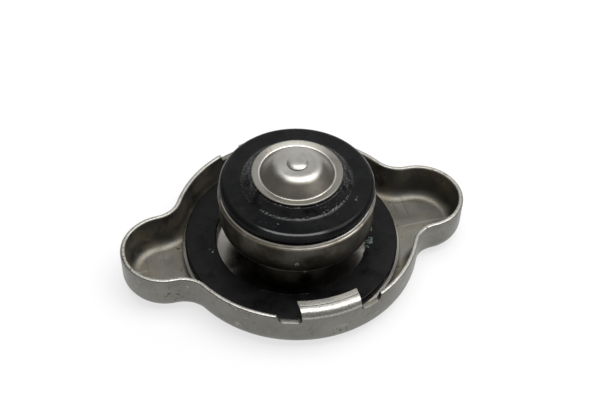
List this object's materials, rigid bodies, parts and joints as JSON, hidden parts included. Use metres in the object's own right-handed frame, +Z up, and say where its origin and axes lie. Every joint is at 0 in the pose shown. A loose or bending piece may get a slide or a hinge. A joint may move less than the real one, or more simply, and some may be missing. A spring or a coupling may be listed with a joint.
{
  "type": "radiator cap",
  "caption": "Bayonet radiator cap with finger wings, a gasket ring on a spring disc, and a spring-loaded pressure valve that carries a vacuum valve, lying on its outer face.",
  "frame": {"origin": "centre of the outer face that the cap lies on", "axes": "+Z up along the valve axis, from the outer face to the valves; +X along the wings"},
  "size_m": [0.0654, 0.0458, 0.0235],
  "materials": {
    "shell_steel": "drawn stainless sheet, satin, worn along the rim",
    "rivet_steel": "satin, peened",
    "disc_steel": "rolled spring sheet, smooth",
    "pot_steel": "drawn, smooth, stained by coolant",
    "inner_steel": "stamped, dull",
    "spring_wire": "drawn wire, dull",
    "dome_steel": "pressed, satin, lightly stained",
    "gasket_rubber": "moulded, wet in patches",
    "seal_rubber": "moulded, wet with coolant"
  },
  "bodies": {
    "shell": {"cap_shell": "shell_steel"},
    "carrier": {"centre_rivet": "rivet_steel", "swivel_washer": "inner_steel", "spring_disc": "disc_steel", "gasket_ring": "gasket_rubber", "spring_bell": "inner_steel", "pressure_spring": "spring_wire"},
    "pressure_valve": {"valve_pot": "pot_steel", "backing_plate": "inner_steel", "pressure_seal": "seal_rubber", "vacuum_spring": "spring_wire"},
    "vacuum_valve": {"vacuum_dome": "dome_steel", "vacuum_stem": "dome_steel", "spring_retainer": "inner_steel"}
  },
  "joints": [
    {"name": "valve_swivel", "type": "hinge", "parent": "shell", "child": "carrier", "pos_m": [0, 0, 0.002], "axis": [0, 0, 1], "continuous": true},
    {"name": "pressure_lift", "type": "slide", "parent": "carrier", "child": "pressure_valve", "axis": [0, 0, -1], "range_m": [0, 0.0032], "stiffness_N_per_m": 8900, "deforming": ["pressure_spring"]},
    {"name": "vacuum_lift", "type": "slide", "parent": "pressure_valve", "child": "vacuum_valve", "axis": [0, 0, 1], "range_m": [0, 0.0018], "stiffness_N_per_m": 300, "deforming": ["vacuum_spring"]}
  ]
}
